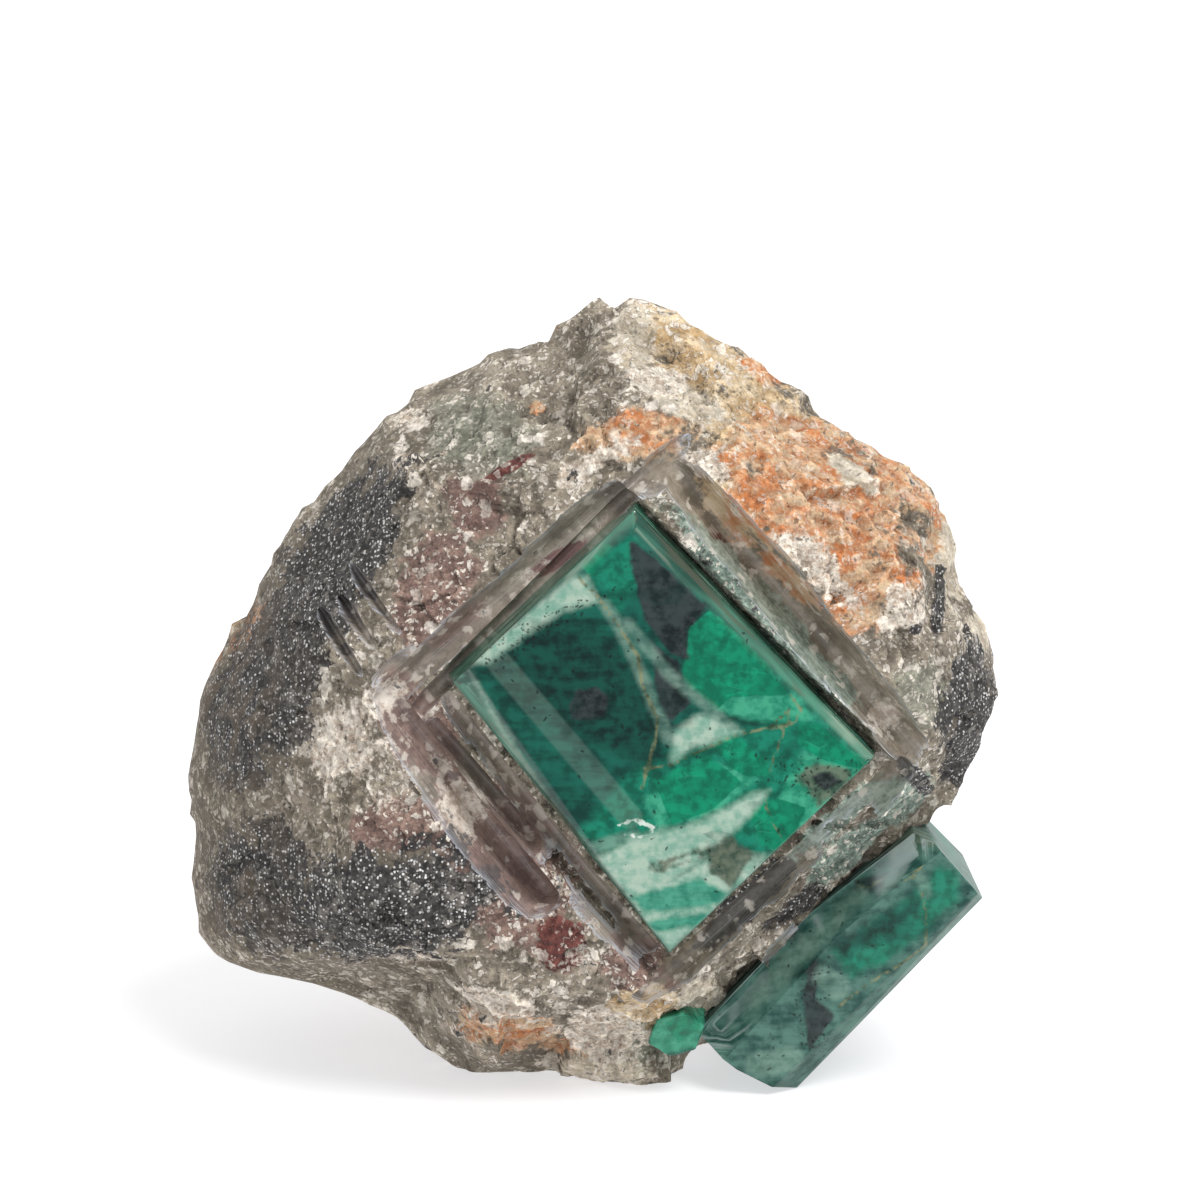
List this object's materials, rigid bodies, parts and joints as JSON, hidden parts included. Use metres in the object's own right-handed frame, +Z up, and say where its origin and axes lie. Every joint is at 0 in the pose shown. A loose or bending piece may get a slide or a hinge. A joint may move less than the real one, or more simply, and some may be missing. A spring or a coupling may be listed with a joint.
{
  "type": "emerald crystal in host rock",
  "caption": "Rough rock specimen standing upright, with a proud square-ground polished emerald block in a ring of channels and a further block at its lower corner",
  "frame": {"origin": "centre of the bounding box on the floor, under the flat foot", "axes": "+Z up; -Y is the side with the polished emeralds, which faces the viewer; +X to the viewer's right, towards the block at the lower corner"},
  "size_m": [0.101, 0.065, 0.098],
  "materials": {
    "host_rock": "broken mica schist, quartz and feldspar with rust stains, ground satin in the channels",
    "polished_emerald": "polished translucent emerald with veins and dark inclusions",
    "raw_emerald": "unpolished emerald"
  },
  "bodies": {
    "root": {"host_rock": "host_rock", "emerald_block": "polished_emerald", "emerald_end_block": "polished_emerald", "emerald_chip": "raw_emerald"}
  },
  "joints": []
}
